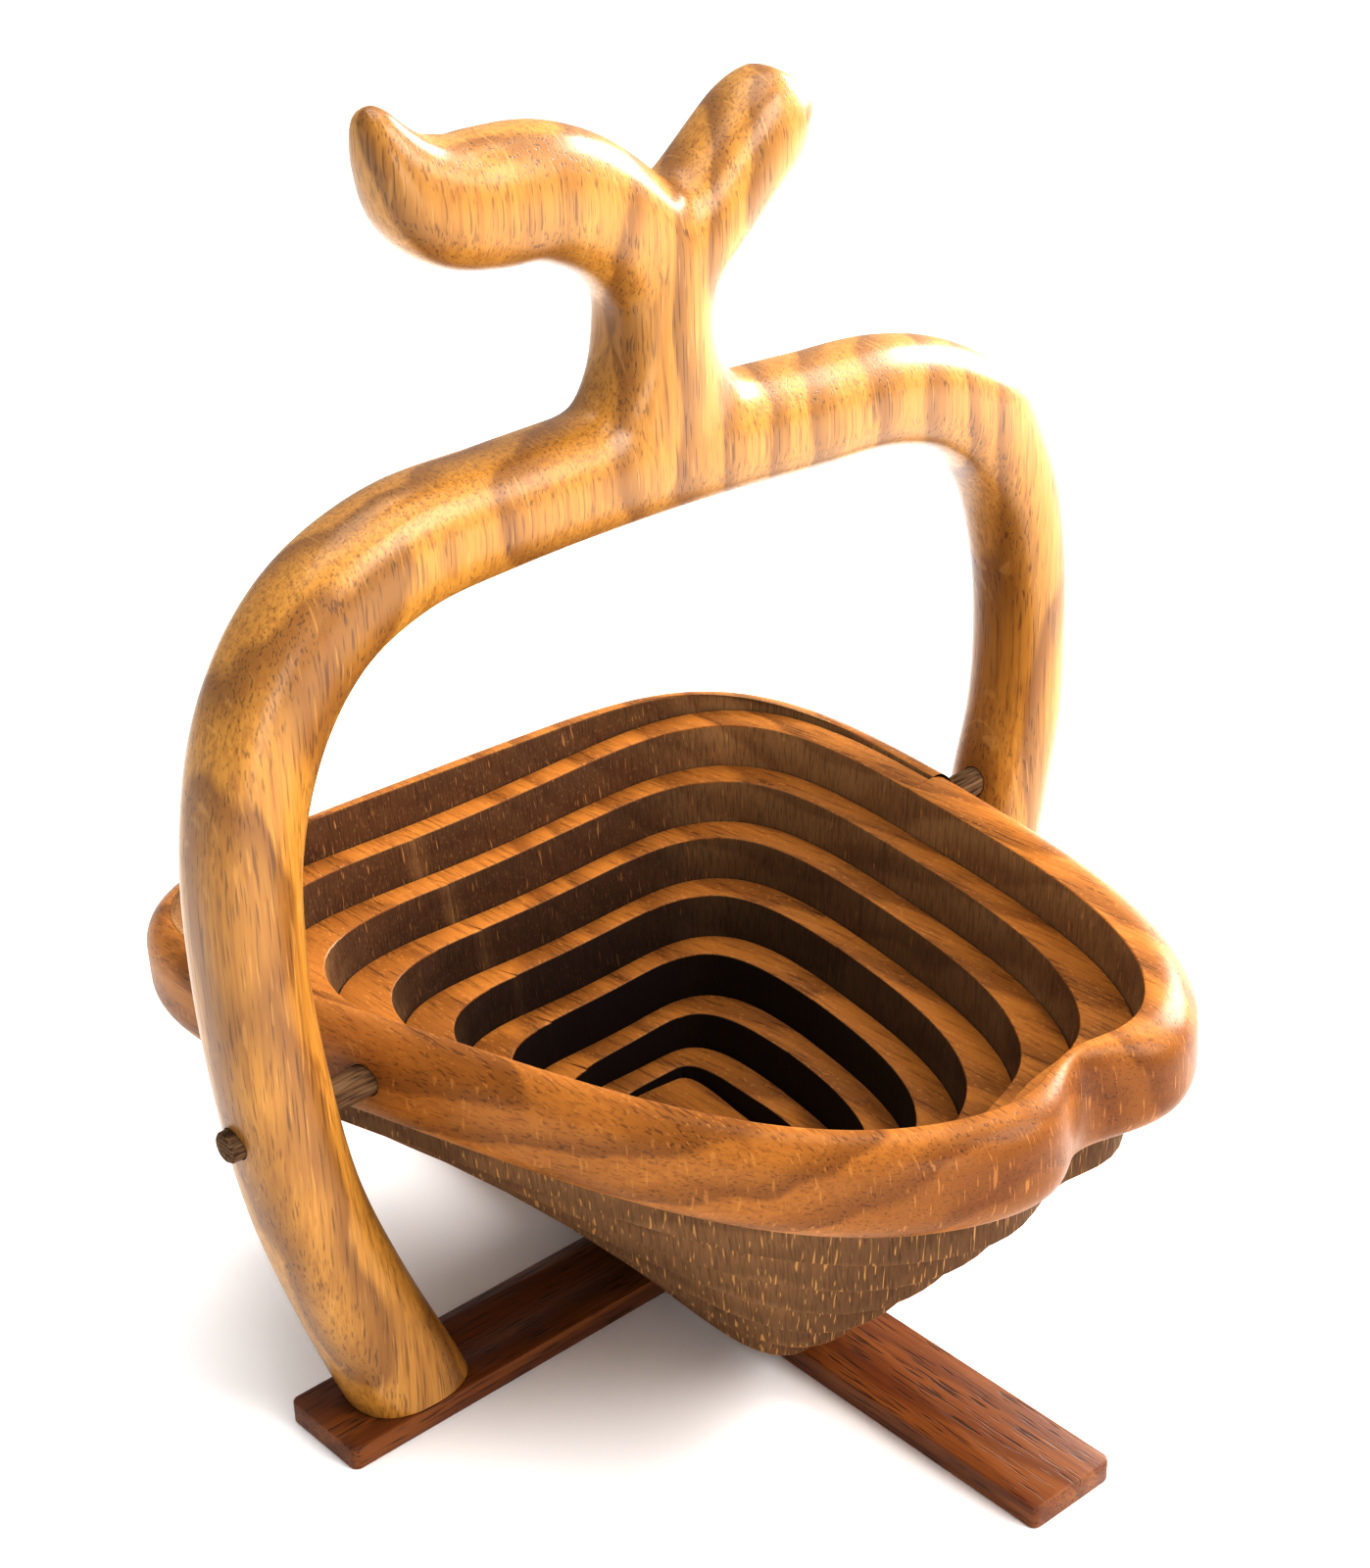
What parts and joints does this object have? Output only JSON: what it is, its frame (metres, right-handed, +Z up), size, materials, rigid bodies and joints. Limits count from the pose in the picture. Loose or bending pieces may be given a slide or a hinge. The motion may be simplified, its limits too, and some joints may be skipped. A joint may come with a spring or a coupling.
{
  "type": "collapsible wooden basket",
  "caption": "Collapsible oak basket: an apple-outline handle on a base of crossed bars, holding on dowels a dimpled rim whose long spiral saw cut lets the wood sink into a bowl.",
  "frame": {"origin": "on the floor, under the crossing of the two bars", "axes": "X runs from leg to leg, -Y is the dimpled front of the rim, +Z is up"},
  "size_m": [0.2598, 0.2746, 0.3098],
  "materials": {
    "board_oak": "varnished, satin to gloss",
    "spiral_oak": "varnished top edges, bare sawn walls",
    "bar_wood": "dark stain, satin",
    "dowel_wood": "bare end grain, matte"
  },
  "bodies": {
    "base": {"base_bar": "bar_wood", "foot_bar": "bar_wood", "left_leg_peg": "dowel_wood", "right_leg_peg": "dowel_wood"},
    "handle": {"handle_frame": "board_oak", "left_pivot_dowel": "dowel_wood", "right_pivot_dowel": "dowel_wood"},
    "rim": {"basket_rim": "board_oak"},
    "turn_1": {"spiral_turn_1": "spiral_oak"},
    "turn_2": {"spiral_turn_2": "spiral_oak"},
    "turn_3": {"spiral_turn_3": "spiral_oak"},
    "turn_4": {"spiral_turn_4": "spiral_oak"},
    "turn_5": {"spiral_turn_5": "spiral_oak"},
    "turn_6": {"spiral_turn_6": "spiral_oak"},
    "bottom": {"spiral_turn_7": "spiral_oak", "bottom_panel": "spiral_oak"}
  },
  "joints": [
    {"name": "handle_lift", "type": "slide", "parent": "base", "child": "handle", "axis": [0, 0, 1], "range_m": [0, 0.115]},
    {"name": "rim_fold", "type": "hinge", "parent": "handle", "child": "rim", "pos_m": [0, 0, 0.0934], "axis": [1, 0, 0], "range_deg": [0, 93]},
    {"name": "turn_1_rise", "type": "hinge", "parent": "rim", "child": "turn_1", "pos_m": [0, 1.41773, 0.0191], "axis": [-1, 0, 0], "range_deg": [0, 0.4583]},
    {"name": "turn_2_rise", "type": "hinge", "parent": "turn_1", "child": "turn_2", "pos_m": [0, 1.41773, 0.0191], "axis": [-1, 0, 0], "range_deg": [0, 0.4583]},
    {"name": "turn_3_rise", "type": "hinge", "parent": "turn_2", "child": "turn_3", "pos_m": [0, 1.41773, 0.0191], "axis": [-1, 0, 0], "range_deg": [0, 0.4583]},
    {"name": "turn_4_rise", "type": "hinge", "parent": "turn_3", "child": "turn_4", "pos_m": [0, 1.41773, 0.0191], "axis": [-1, 0, 0], "range_deg": [0, 0.4583]},
    {"name": "turn_5_rise", "type": "hinge", "parent": "turn_4", "child": "turn_5", "pos_m": [0, 1.41773, 0.0191], "axis": [-1, 0, 0], "range_deg": [0, 0.4583]},
    {"name": "turn_6_rise", "type": "hinge", "parent": "turn_5", "child": "turn_6", "pos_m": [0, 1.41773, 0.0191], "axis": [-1, 0, 0], "range_deg": [0, 0.4583]},
    {"name": "bottom_rise", "type": "hinge", "parent": "turn_6", "child": "bottom", "pos_m": [0, 1.41773, 0.0191], "axis": [-1, 0, 0], "range_deg": [0, 0.2502]}
  ],
  "couplings": [
    {"joint": "handle_lift", "follows": "rim_fold", "m_per_rad": 0.07084},
    {"joint": "turn_2_rise", "follows": "turn_1_rise", "ratio": 1},
    {"joint": "turn_3_rise", "follows": "turn_1_rise", "ratio": 1},
    {"joint": "turn_4_rise", "follows": "turn_1_rise", "ratio": 1},
    {"joint": "turn_5_rise", "follows": "turn_1_rise", "ratio": 1},
    {"joint": "turn_6_rise", "follows": "turn_1_rise", "ratio": 1},
    {"joint": "bottom_rise", "follows": "turn_1_rise", "ratio": 0.5459}
  ]
}
